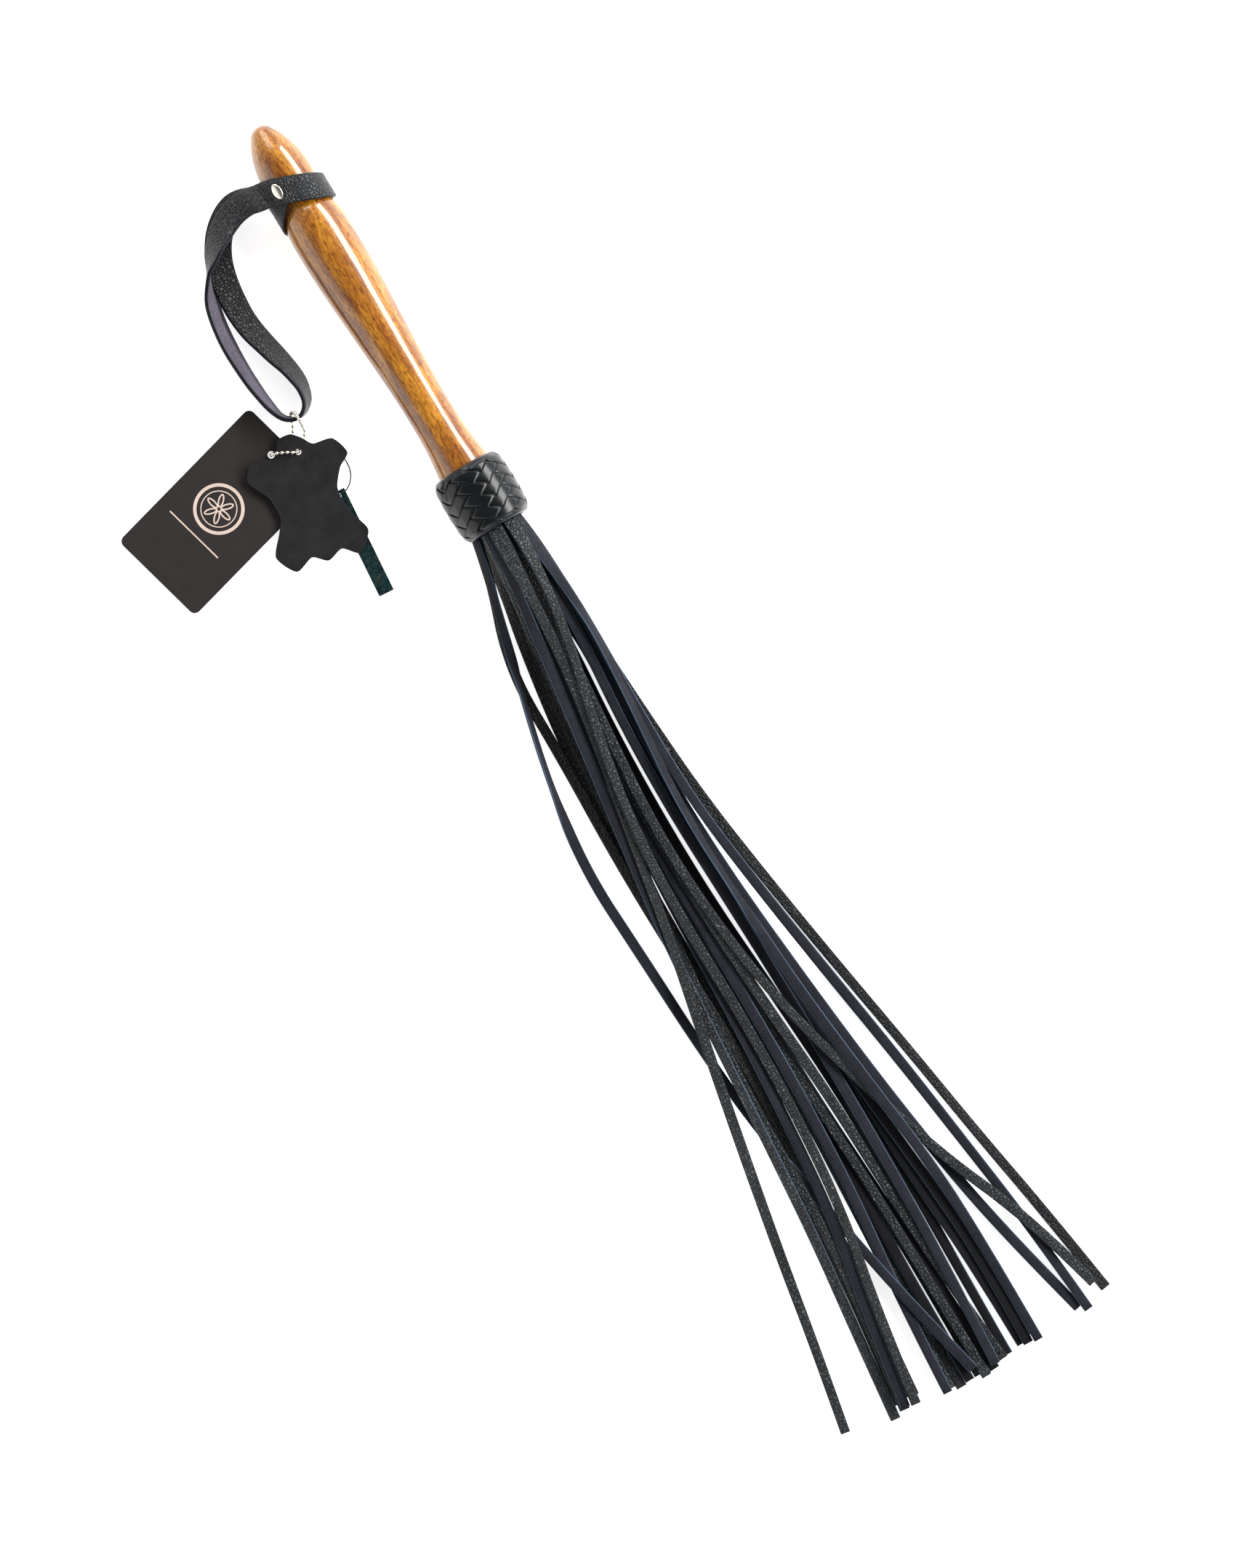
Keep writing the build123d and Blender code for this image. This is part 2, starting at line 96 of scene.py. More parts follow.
# ---- node materials ------------------------------------------------------------------------------
class Shader:
    """A Principled material with short calls for the nodes that the looks below share."""

    def __init__(self, name):
        self.mat = bpy.data.materials.new(name)
        self.mat.use_nodes = True
        self.tree = self.mat.node_tree
        self.bsdf = self.tree.nodes["Principled BSDF"]
        self.coords = self.tree.nodes.new("ShaderNodeTexCoord").outputs["Object"]

    def set(self, **values):
        for key, value in values.items():
            self.bsdf.inputs[key.replace("_", " ")].default_value = value
        return self

    def link(self, source, socket):
        self.tree.links.new(source, self.bsdf.inputs[socket])

    def stretched(self, scale):
        node = self.tree.nodes.new("ShaderNodeMapping")
        node.inputs["Scale"].default_value = scale
        self.tree.links.new(self.coords, node.inputs["Vector"])
        return node.outputs["Vector"]

    def noise(self, scale, detail=4.0, vector=None, distortion=0.0):
        node = self.tree.nodes.new("ShaderNodeTexNoise")
        node.inputs["Scale"].default_value = scale
        node.inputs["Detail"].default_value = detail
        node.inputs["Distortion"].default_value = distortion
        self.tree.links.new(vector or self.coords, node.inputs["Vector"])
        return node.outputs["Fac"]

    def cells(self, scale, feature="F1", vector=None):
        node = self.tree.nodes.new("ShaderNodeTexVoronoi")
        node.feature = feature
        node.inputs["Scale"].default_value = scale
        self.tree.links.new(vector or self.coords, node.inputs["Vector"])
        return node.outputs["Distance"]

    def ramp(self, source, stops):
        node = self.tree.nodes.new("ShaderNodeValToRGB")
        elements = node.color_ramp.elements
        while len(elements) < len(stops):
            elements.new(0.5)
        for element, (place, colour) in zip(elements, stops):
            element.position = place
            element.color = (*colour, 1)
        self.tree.links.new(source, node.inputs["Fac"])
        return node.outputs["Color"]

    def mix(self, factor, one, other, kind="MIX"):
        node = self.tree.nodes.new("ShaderNodeMix")
        node.data_type = "RGBA"
        node.blend_type = kind
        for value, socket in ((factor, 0), (one, 6), (other, 7)):
            if isinstance(value, (int, float)):
                node.inputs[socket].default_value = value
            elif isinstance(value, tuple):
                node.inputs[socket].default_value = (*value, 1)
            else:
                self.tree.links.new(value, node.inputs[socket])
        return node.outputs[2]

    def math(self, kind, one, other):
        node = self.tree.nodes.new("ShaderNodeMath")
        node.operation = kind
        for value, socket in ((one, 0), (other, 1)):
            if isinstance(value, (int, float)):
                node.inputs[socket].default_value = value
            else:
                self.tree.links.new(value, node.inputs[socket])
        return node.outputs[0]

    def bump(self, height, strength, distance):
        node = self.tree.nodes.new("ShaderNodeBump")
        node.inputs["Strength"].default_value = strength
        node.inputs["Distance"].default_value = distance
        self.tree.links.new(height, node.inputs["Height"])
        self.link(node.outputs["Normal"], "Normal")
        return self


def wood():
    m = Shader("turned_wood")
    bands = m.noise(1.0, 6.0, m.stretched((22, 110, 110)), 1.0)
    fine = m.noise(1.0, 8.0, m.stretched((160, 1000, 1000)))
    pores = m.noise(1.0, 2.0, m.stretched((330, 1900, 1900)))
    warm = m.ramp(bands, [(0.28, (0.20, 0.056, 0.006)), (0.42, (0.36, 0.125, 0.010)),
                          (0.54, (0.51, 0.205, 0.014)), (0.70, (0.62, 0.275, 0.024))])
    streaks = m.ramp(fine, [(0.38, (0.55, 0.44, 0.34)), (0.58, (1.0, 1.0, 1.0))])
    dots = m.ramp(pores, [(0.54, (1.0, 1.0, 1.0)), (0.62, (0.30, 0.16, 0.08))])
    colour = m.mix(0.75, m.mix(0.75, warm, streaks, "MULTIPLY"), dots, "MULTIPLY")
    m.link(colour, "Base Color")
    m.set(Roughness=0.32, Coat_Weight=1.0, Coat_Roughness=0.035, Coat_IOR=1.55)
    return m.bump(fine, 0.12, 0.0002).mat


def grain(name, colour, sheen, roughness, pebble=1.0):
    """Pebbled grain leather, with painted shade darkening the grooves between the pebbles."""
    m = Shader(name)
    pebbles = m.cells(560.0, "DISTANCE_TO_EDGE")
    small = m.noise(2600.0, 3.0)
    height = m.math("ADD", m.math("MINIMUM", pebbles, 0.22), m.math("MULTIPLY", small, 0.10))
    patches = m.noise(60.0, 3.0)
    dark = tuple(c * 0.55 for c in colour)
    # painted shade: the colour goes near-black in the grooves between the pebbles
    crease_shade = m.ramp(pebbles, [(0.01, (0.05, 0.05, 0.06)), (0.24, (1.0, 1.0, 1.0))])
    tone = m.ramp(patches, [(0.38, dark), (0.66, colour)])
    m.link(m.mix(1.0, tone, crease_shade, "MULTIPLY"), "Base Color")
    m.set(Roughness=roughness, Specular_IOR_Level=0.46, Sheen_Weight=sheen, Sheen_Roughness=0.4,
          Sheen_Tint=(0.75, 0.82, 0.85, 1))
    return m.bump(height, 1.0, 0.0030 * pebble).mat


def suede(name, colour):
    """The flesh side of the leather: short fibres, no gloss."""
    m = Shader(name)
    fibres = m.noise(1.0, 5.0, m.stretched((1500, 3200, 3200)))
    patches = m.noise(90.0, 4.0)
    light = tuple(min(1.0, c * 1.7) for c in colour)
    dark = tuple(c * 0.55 for c in colour)
    tone = m.ramp(patches, [(0.35, dark), (0.65, colour)])
    m.link(m.mix(m.ramp(fibres, [(0.42, (0, 0, 0)), (0.70, (1, 1, 1))]), tone, light), "Base Color")
    m.set(Roughness=0.92, Specular_IOR_Level=0.15, Sheen_Weight=0.05, Sheen_Roughness=0.5)
    return m.bump(fibres, 0.6, 0.0004).mat


def plain(name, colour, roughness, metallic=0.0, mottle=0.15, coat=0.0, bump=0.0):
    """A nearly even surface, a little uneven in tone."""
    m = Shader(name)
    tone = m.noise(140.0, 5.0)
    dark = tuple(c * (1 - mottle) for c in colour)
    light = tuple(min(1.0, c * (1 + mottle)) for c in colour)
    m.link(m.ramp(tone, [(0.35, dark), (0.65, light)]), "Base Color")
    m.set(Roughness=roughness, Metallic=metallic, Coat_Weight=coat)
    m.set(Specular_IOR_Level=0.5 if metallic else 0.25)
    if bump:
        m.bump(m.noise(900.0, 4.0), bump, 0.0003)
    return m.mat


def lace():
    m = Shader("black_lace")
    scuffs = m.noise(700.0, 6.0)
    tone = m.ramp(m.noise(120.0), [(0.4, (0.003, 0.004, 0.005)), (0.65, (0.007, 0.009, 0.011))])
    m.link(tone, "Base Color")
    m.set(Roughness=0.25, Specular_IOR_Level=0.36, Coat_Weight=0.10, Coat_Roughness=0.10)
    return m.bump(scuffs, 0.16, 0.00015).mat


def foil():
    m = Shader("teal_foil")
    cracks = m.cells(260.0, "DISTANCE_TO_EDGE", m.coords)
    tone = m.ramp(m.noise(190.0, 6.0, None, 1.5),
                  [(0.35, (0.007, 0.022, 0.026)), (0.5, (0.016, 0.060, 0.068)),
                   (0.62, (0.05, 0.055, 0.042)), (0.72, (0.03, 0.10, 0.11))])
    whole = m.ramp(cracks, [(0.0, (0, 0, 0)), (0.07, (1, 1, 1))])
    m.link(m.mix(whole, (0.004, 0.008, 0.01), tone), "Base Color")
    m.set(Roughness=0.30, Metallic=0.55)
    return m.bump(cracks, 0.4, 0.0003).mat


looks = {
    "wood": wood(),
    "grain": grain("grain_leather", (0.034, 0.044, 0.050), 0.05, 0.33),
    # a darker and rougher copy of the grain leather; the darker colour is painted shade, for leather lying
    # under the other tails or inside the collar
    "grain_shaded": grain("grain_leather_shaded", (0.011, 0.014, 0.018), 0.02, 0.50),
    "suede": suede("suede_side", (0.0165, 0.0175, 0.0235)),
    # a darker copy of the suede: painted shade, for suede lying under the other tails
    "suede_shaded": suede("suede_side_shaded", (0.008, 0.008, 0.010)),
    "cut": plain("cut_edge", (0.050, 0.080, 0.125), 0.75),
    "cut_dark": plain("cut_edge_dark", (0.006, 0.008, 0.012), 0.6),
    "strap_grain": grain("strap_grain", (0.019, 0.022, 0.027), 0.04, 0.36, 0.6),
    "strap_suede": suede("strap_suede", (0.085, 0.076, 0.100)),
    "strap_edge": plain("strap_edge", (0.005, 0.006, 0.010), 0.4),
    "lace": lace(),
    # near-black material for painted shade where one lace meets or dives under the next
    "lace_gap_shade": plain("lace_gap_shade", (0.0008, 0.0008, 0.001), 0.95),
    "nickel": plain("nickel", (0.84, 0.80, 0.70), 0.20, 1.0, 0.05),
    "steel": plain("steel_tack", (0.5, 0.5, 0.5), 0.35, 1.0),
    "thread": plain("black_thread", (0.012, 0.012, 0.012), 0.8, bump=0.3),
    "padding": plain("padding", (0.03, 0.03, 0.03), 0.9, bump=0.3),
    "card": plain("dark_card", (0.024, 0.0195, 0.0188), 0.6, mottle=0.08, bump=0.04),
    "foil_print": plain("foil_print", (0.82, 0.66, 0.56), 0.42, 0.25, 0.04),
    "hide": plain("grey_nubuck", (0.0115, 0.0115, 0.0128), 0.85, mottle=0.25, bump=0.4),
    "foil": foil(),
    "wire": plain("dark_wire", (0.10, 0.09, 0.085), 0.35, 0.9),
}


# ---- mesh helpers --------------------------------------------------------------------------------
def make(name, verts, faces, materials, indices=None, flat=False):
    mesh = bpy.data.meshes.new(name)
    mesh.from_pydata([tuple(v) for v in verts], [], faces)
    for m in materials:
        mesh.materials.append(looks[m])
    mesh.polygons.foreach_set("use_smooth", [not flat] * len(faces))
    if indices:
        mesh.polygons.foreach_set("material_index", indices)
    mesh.update()
    obj = bpy.data.objects.new(name, mesh)
    bpy.context.scene.collection.objects.link(obj)
    return obj


def line_through(points, resolution=20):
    """Points along the smooth line that has these control points."""
    data = bpy.data.curves.new("line", "CURVE")
    data.dimensions = "3D"
    spline = data.splines.new("NURBS")
    spline.points.add(len(points) - 1)
    for p, co in zip(spline.points, points):
        p.co = (*co, 1)
    spline.order_u = 3
    spline.use_endpoint_u = True
    spline.resolution_u = resolution
    obj = bpy.data.objects.new("line", data)
    bpy.context.scene.collection.objects.link(obj)
    mesh = bpy.data.meshes.new_from_object(obj.evaluated_get(bpy.context.evaluated_depsgraph_get()))
    out = [v.co.copy() for v in mesh.vertices]
    bpy.data.objects.remove(obj)
    bpy.data.curves.remove(data)
    bpy.data.meshes.remove(mesh)
    return out


def ring_faces(rows, turns):
    """The faces between successive rings, of turns points each."""
    faces = []
    for i in range(rows - 1):
        for k in range(turns):
            n = (k + 1) % turns
            faces.append((i * turns + k, i * turns + n, (i + 1) * turns + n, (i + 1) * turns + k))
    return faces


def lathe(name, profile, material, turns=128):
    """A surface of revolution round the handle's axis from (s, r) pairs in mm, closed at both ends."""
    verts = [polar(s, r, 360 * k / turns) for s, r in profile for k in range(turns)]
    faces = ring_faces(len(profile), turns)
    last = (len(profile) - 1) * turns
    faces.append(tuple(reversed(range(turns))))
    faces.append(tuple(range(last, last + turns)))
    return make(name, verts, faces, [material])


def smooth_profile(points, steps=10):
    """A curve through (s, r) points, as a list of pairs."""
    out = []
    for i in range(len(points) - 1):
        p = [Vector(points[max(0, min(len(points) - 1, i + k))]) for k in (-1, 0, 1, 2)]
        for j in range(steps):
            t = j / steps
            q = (2 * p[1] + (p[2] - p[0]) * t + (2 * p[0] - 5 * p[1] + 4 * p[2] - p[3]) * t * t
                 + (3 * p[1] - p[0] - 3 * p[2] + p[3]) * t ** 3) / 2
            out.append((q.x, q.y))
    out.append(points[-1])
    return out


def ribbon(name, line, normals, widths, thick, looks3, side_of=None, bevel=0.18, crown=0.0):
    """A flat strip along a line, with one look each on its upper face, its lower face and its edges.
    side_of says, for each place, which of the two faces is uppermost."""
    half_t = thick / 2
    verts, faces, indices = [], [], []
    for i, p in enumerate(line):
        t = (line[min(i + 1, len(line) - 1)] - line[max(i - 1, 0)]).normalized()
        n = (normals[i] - t * normals[i].dot(t)).normalized()
        across = n.cross(t)
        w = widths[i] / 2
        b = bevel * thick
        ring = [(-w, -half_t + b), (-w, half_t - b), (-w + b, half_t), (-w * 0.45, half_t + crown),
                (w * 0.45, half_t + crown), (w - b, half_t), (w, half_t - b), (w, -half_t + b),
                (w - b, -half_t), (0, -half_t + crown), (-w + b, -half_t)]
        verts += [p + across * a + n * h for a, h in ring]
    count = 11
    face_kind = [2, 2, 0, 0, 0, 2, 2, 2, 1, 1, 2]
    for i in range(len(line) - 1):
        swap = side_of is not None and side_of[i]
        for k in range(count):
            m = (k + 1) % count
            faces.append((i * count + k, (i + 1) * count + k, (i + 1) * count + m, i * count + m))
            kind = face_kind[k]
            indices.append(1 - kind if swap and kind < 2 else kind)
    end = (len(line) - 1) * count
    faces.append(tuple(range(count)))
    faces.append(tuple(reversed(range(end, end + count))))
    indices += [2, 2]
    return make(name, verts, faces, looks3, indices)


# ---- camera, floor and light ---------------------------------------------------------------------
view_height = 0.746
camera_distance = 6.0
camera_data = bpy.data.cameras.new("camera")
camera_data.sensor_width = 36.0
camera_data.lens = camera_data.sensor_width * camera_distance / view_height
camera = bpy.data.objects.new("camera", camera_data)
bpy.context.scene.collection.objects.link(camera)
camera.location = at(135.4, -12.8, 10) + Vector((0, 0, camera_distance))
camera.rotation_euler = (0, 0, math.radians(58.73))
bpy.context.scene.camera = camera


def area_light(name, place, target, size, power, colour=(1, 1, 1)):
    data = bpy.data.lights.new(name, "AREA")
    data.shape = "RECTANGLE"
    data.size, data.size_y = size
    data.energy = power
    data.color = colour
    obj = bpy.data.objects.new(name, data)
    bpy.context.scene.collection.objects.link(obj)
    obj.location = place
    obj.rotation_euler = (Vector(target) - Vector(place)).to_track_quat("-Z", "Y").to_euler()
    return obj


area_light("strip_light", (0.0, 1.28, 0.90), (0, 0, 0), (2.6, 0.55), 55)
area_light("fill_light", (0.0, -1.9, 0.7), (0, 0, 0), (2.6, 1.2), 7)
area_light("butt_light", (-1.7, 0.2, 0.8), (0, 0, 0), (0.8, 1.2), 9)
world = bpy.data.worlds.new("surround")
world.use_nodes = True
# a room whose walls are bright and whose ceiling is dim, so that dark leather stays dark from above
sky = world.node_tree
direction = sky.nodes.new("ShaderNodeTexCoord").outputs["Generated"]
height = sky.nodes.new("ShaderNodeSeparateXYZ")
sky.links.new(direction, height.inputs[0])
walls = sky.nodes.new("ShaderNodeValToRGB")
walls.color_ramp.elements[0].position = 0.25
walls.color_ramp.elements[0].color = (0.95, 0.95, 0.96, 1)
walls.color_ramp.elements[1].position = 0.85
walls.color_ramp.elements[1].color = (0.16, 0.16, 0.16, 1)
sky.links.new(height.outputs[2], walls.inputs["Fac"])
sky.links.new(walls.outputs["Color"], sky.nodes["Background"].inputs["Color"])
sky.nodes["Background"].inputs["Strength"].default_value = 0.8
bpy.context.scene.world = world
bpy.context.scene.view_settings.view_transform = "Standard"

floor_half = 3.0
floor_mesh = bpy.data.meshes.new("floor")
floor_corners = [(x * floor_half, y * floor_half, 0) for x, y in ((-1, -1), (1, -1), (1, 1), (-1, 1))]
floor_mesh.from_pydata(floor_corners, [], [(0, 1, 2, 3)])
floor = bpy.data.objects.new("floor", floor_mesh)
floor_look = Shader("floor_white")
floor_look.set(Base_Color=(0.85, 0.85, 0.85, 1), Roughness=0.95)
floor_look.set(Emission_Color=(1, 1, 1, 1), Emission_Strength=0.78)
floor_mesh.materials.append(floor_look.mat)
bpy.context.scene.collection.objects.link(floor)
floor.location = (0, 0, -0.0002)
floor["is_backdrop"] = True

# ---- tails ---------------------------------------------------------------------------------------
# the same routes as the CAD's: sideways places at the stations and at the cut end, end, layer, look
stations = [14, 60, 110, 160, 210, 262, 314, 366, 414]
tails = {
    "tail_01": ([-3, -6, -13.5, -23.5, -32.5, -44.2, -55.4, -66, -74.8, -83.2], 454.4, 11, "grain"),
    "tail_02": ([-6, -13, -20, -27.5, -34.5, -39, -43, -47.5, -53.7, -59.4], 461.2, 10, "suede_turning"),
    "tail_03": ([-9, -15, -20.5, -25.5, -30.5, -37.3, -40.4, -41.4, -46.8, -53.3], 459.4, 8, "grain"),
    "tail_04": ([-7, -11, -16.5, -21, -24.2, -26.5, -30.2, -35.6, -45.4, -52.3], 458.5, 9, "suede"),
    "tail_05": ([-0.5, -3.5, -9.3, -14.8, -17.4, -18.2, -20.5, -24, -27.2, -29.4], 462.3, 4, "grain"),
    "tail_06": ([-5, -8.5, -12.5, -15.5, -16.5, -16.8, -18.3, -21.9, -27.8, -31.5], 463.2, 6, "suede"),
    "tail_07": ([6.5, 1.2, -11.9, -20.6, -23.0, -22.5, -24.8, -30.4, -40.4, -47.3], 459.7, 12, "grain"),
    "tail_08": ([-6, -10, -14.5, -18, -19.5, -20.3, -20.4, -20.8, -23.4, -24.5], 464.5, 2, "grain"),
    "tail_09": ([-4, -7, -12, -15, -15.7, -15.6, -15.6, -17, -19.2, -19.5], 463.7, 3, "suede"),
    "tail_10": ([-16, -28.8, -42, -50.3, -48.5, -47.1, -43.3, -34, -25.6, -15.3], 459.8, 7, "suede"),
    "tail_11": ([-6.5, -10, -13.5, -16.5, -17.5, -17, -15.2, -13.2, -13.2, -14.5], 463.8, 0, "grain"),
    "tail_12": ([-5, -8, -11, -13.5, -14.5, -15.2, -13.6, -11.9, -11.8, -11.5], 466.0, 5, "grain"),
    "tail_13": ([-2, -5, -8.5, -11, -12.5, -13, -12.4, -10.5, -8.6, -6.5], 465.1, 1, "suede"),
    "tail_14": ([7, 6.5, 1.5, -0.4, 0.8, 1.7, 1.4, 0.5, -1.5, -4.9], 463.2, 8, "suede"),
    "tail_15": ([-1, -4, -9.5, -13, -12.2, -9.8, -6.5, -5.8, -4.2, -0.4], 462.9, 7, "grain"),
    "tail_16": ([4, 5.5, 3.5, 2.2, 3, 4.6, 6.6, 5.4, 3.6, 2.6], 462.5, 1, "suede"),
    "tail_17": ([3, 5, 5.5, 4.5, 5.5, 7.5, 7.8, 7.6, 10.8, 10.6], 461.7, 2, "suede"),
    "tail_18": ([5, 7, 4.5, 2.5, 4, 6.2, 8.2, 12.7, 15.7, 13.6], 462.9, 3, "suede"),
    "tail_19": ([10, 13.2, 9.5, 4.2, 5.2, 7.6, 12.5, 18.3, 19.6, 18.6], 464.0, 10, "suede"),
    "tail_20": ([7.5, 9.5, 7.5, 6, 8, 12.2, 16.9, 23.3, 31.7, 42.7], 460.9, 4, "suede"),
    "tail_21": ([11.5, 12.5, 10.8, 10.8, 16.3, 23.4, 30.9, 37.2, 42.9, 46.6], 464.0, 5, "suede"),
    "tail_22": ([1, -2, -7, -11.5, -10.3, -3.8, 9.4, 25.0, 45.2, 54.9], 454.3, 9, "grain"),
    "tail_23": ([9, 11, 12.6, 15.3, 21.5, 29.2, 37.4, 44.8, 52.7, 58.8], 459.5, 2, "grain"),
    "tail_24": ([-15, -31.8, -32, -34.2, -34.5, -33, -33.5, -36.5, -41.5, -46.0], 456.0, 2, "grain"),
    "tail_25": ([-9, -16.5, -24, -28, -29, -31.2, -35.2, -39, -45, -50], 455.0, 1, "grain"),
    "tail_26": ([1, 0, -4.5, -6.6, -6.5, -3.4, -1.2, -1.5, -2.8, -3.5], 461.0, 0, "suede"),
    "tail_27": ([-12, -21, -28.5, -31.8, -33.5, -36, -39.5, -42.8, -48.2, -54], 456.0, 0, "grain"),
    "tail_28": ([8, 9.5, 6.8, 3.6, 5, 8.6, 13, 18, 19.2, 18.3], 460.0, 0, "suede"),
}
tail_width, tail_thick, layer, tail_gap = 5.0, 1.1, 1.6, 0.45
bundle_r, tail_rest, droop = 11.0, 0.7, 2.2


def resting(side):
    inside = mouth.z / MM - bundle_r * math.sqrt(max(0.2, 1 - (side[0] / (bundle_r + 1)) ** 2))
    return [inside, droop] + [tail_rest] * (len(side) - 2)


def nearest(one, other, k):
    here, there = one[k] - other[k], one[k + 1] - other[k + 1]
    return 0 if here * there < 0 else min(abs(here), abs(there))


def drape():
    """Heights at the stations: each tail lies on the lower layers that it crosses, as in the CAD."""
    heights = {}
    for name, (side, _, level, _) in sorted(tails.items(), key=lambda item: item[1][2]):
        z = resting(side)
        for other in heights:
            for k in range(len(stations)):
                if tails[other][2] < level and nearest(side, tails[other][0], k) < tail_width + tail_gap:
                    z[k] = max(z[k], heights[other][k] + layer)
                    z[k + 1] = max(z[k + 1], heights[other][k + 1] + layer)
        heights[name] = z
    return heights


def tail_body(level):
    return "tails_lower" if level <= 3 else "tails_middle" if level <= 8 else "tails_upper"


mouth_start = -0.5                       # the visible tails start inside the collar's mouth
edge_on = {"tail_10": (45, 115, 62), "tail_19": (35, 200, 48)}    # seen on edge from, to, by how much
turns_over_at = 215
heights = drape()
for name, (side, end, level, look) in tails.items():
    z = heights[name]
    xs = stations + [end]
    start = at(mouth_start, side[0] * 0.82, mouth.z / MM + (z[0] - mouth.z / MM) * 0.96)
    route = [start] + [at(x, y, h) for x, y, h in zip(xs, side, z)]
    line = line_through(route)
    draw = random.Random(name)
    sway_a, sway_b = draw.uniform(-9, 9), draw.uniform(-9, 9)
    phase = draw.uniform(0, 6.28)
    normals, widths, flips = [], [], []
    for p in line:
        x = (p.x - mouth.x) / MM
        around = max(-62.0, min(62.0, side[0] * 5.0)) * (1 - smooth((x - 5) / 70))
        sway = sway_a * math.sin(x / 61 + phase) + sway_b * math.sin(x / 23 + phase * 2)
        roll = around + sway * smooth(x / 60)
        if name in edge_on:
            low, high, tilt = edge_on[name]
            roll += tilt * smooth((x - low) / 30) * (1 - smooth((x - high) / 40))
        a = math.radians(roll)
        normals.append(Vector((0, math.sin(a), math.cos(a))))
        width = tail_width * (0.97 + 0.05 * math.sin(x / 47 + phase))
        widths.append(width * MM * (1 + 0.50 * (1 - smooth((x - 6) / 34))))
        flips.append(look == "suede_turning" and x > turns_over_at)
    # the tails in the lowest layers, under the others, take the darker copies of the leather on their upper
    # face: painted shade
    shaded_layer = level <= 3
    grain_look, suede_look = ("grain_shaded", "suede_shaded") if shaded_layer else ("grain", "suede")
    upper = grain_look if look == "grain" else suede_look
    lower = "suede" if look == "grain" else "grain"
    edge = "cut_dark" if look == "grain" else "cut"
    piece = ribbon(name + "_leather", line, normals, widths, tail_thick * MM, [upper, lower, edge], flips,
                   bevel=0.3, crown=0.00006)
    for v in piece.data.vertices:
        v.co.z = max(v.co.z, 0.00002)
    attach(piece, tail_body(level))
    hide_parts(name)

# ---- the fall's uncut skirt, in folds inside the mouth -------------------------------------------
skirt_rings, skirt_turns = 16, 160
verts = []
for i in range(skirt_rings):
    s = -3.0 + 16.0 * i / (skirt_rings - 1)
    for k in range(skirt_turns):
        a = 360 * k / skirt_turns
        fold = math.sin(math.radians(a * 14)) * 0.75 + math.sin(math.radians(a * 5 + 40)) * 0.6
        r = 10.2 + fold * (0.3 + 0.7 * i / skirt_rings) - 1.6 * smooth((s - 4) / 9)
        verts.append(polar(s, r, a))
faces = ring_faces(skirt_rings, skirt_turns)
last = (skirt_rings - 1) * skirt_turns
faces.append(tuple(reversed(range(skirt_turns))))
faces.append(tuple(range(last, last + skirt_turns)))
# the skirt takes the darker copy of the grain leather: painted shade inside the collar's mouth
skirt = make("fall_skirt_folds", verts, faces, ["grain_shaded"])
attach(skirt, "fall_root")
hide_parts("fall_skirt")

# ---- handle --------------------------------------------------------------------------------------
handle_profile = [
    (-222, 0.0), (-221.9, 1.9), (-221.0, 3.9), (-218.5, 6.1), (-212, 9.5), (-203, 12.0), (-194, 12.9),
    (-188.5, 12.1),
    (-184, 10.8), (-180, 11.3), (-175, 13.2), (-168, 14.6), (-158, 15.0), (-140, 14.7), (-115, 13.3),
    (-90, 11.8), (-68, 11.0), (-50, 11.3), (-40, 12.3), (-31, 13.4),
]
handle = lathe("handle_wood", smooth_profile(handle_profile)[1:], "wood")
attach(handle, "grip")
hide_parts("handle")

# ---- braided collar: a height field over the collar's own profile --------------------------------
lace_pitch = 6.6                        # of the laces, along the axis
zone = 36.0                             # degrees round the collar that a lace runs over before it dives
braid_turn = 34.0                       # how far the braid's columns are turned round the axis
collar_profile = smooth_profile([(-33, 13.9), (-32.6, 15.0), (-31.4, 16.2), (-27, 17.2), (-16.5, 17.65),
                                 (-6, 17.2), (-1.6, 16.2), (-0.2, 14.8), (0, 13.5)], 24)


def braid(s, angle):
    """Height of the braid's surface in mm over its foundation, at s along and angle round the axis, and
    whether the place lies in the gap between two laces."""
    a = s / lace_pitch - (angle - braid_turn) / zone
    b = s / lace_pitch + (angle - braid_turn) / zone
    i, j = math.floor(a + 0.5), math.floor(b + 0.5)
    column = (j - i) % 4
    over_a = column in (0, 1)
    across = a - i if over_a else b - j
    if over_a:
        run = b - (j - column) - 0.5
    else:
        run = a - (i + (column - 2)) + 0.5
    edge = abs(across) * 2
    groove = 0.55 * max(0.0, (edge - 0.84) / 0.16) ** 2
    dive = 0.55 * smooth((abs(run) - 0.80) / 0.22)
    height = 0.80 - 0.18 * run * run + 0.22 * across - groove - dive
    return height, edge > 0.93 or abs(run) > 0.955


collar_turns = 576
verts, gap_shade_flags = [], []
rows = len(collar_profile)
for s, r in collar_profile:
    inside = smooth((s + 31.8) / 2.2) * smooth((-1.2 - s) / 2.0)
    for k in range(collar_turns):
        angle = 360 * k / collar_turns
        bight = 0.22 * math.cos(math.radians(angle * 8 + (20 if s > -16 else -25)))
        height, in_gap = braid(s, angle)
        h = height * inside + (0.1 + bight) * (1 - inside) * smooth((r - 13.6) / 1.5)
        verts.append(polar(s, r + h, angle))
        gap_shade_flags.append(1 if in_gap and inside > 0.5 else 0)
faces = ring_faces(rows, collar_turns)
# faces along the laces' edges and tucked ends take the near-black material: painted shade
collar = make("braided_collar_lace", verts, faces, ["lace", "lace_gap_shade"], [gap_shade_flags[f[0]] for f in faces])
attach(collar, "grip")
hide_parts("braided_collar")

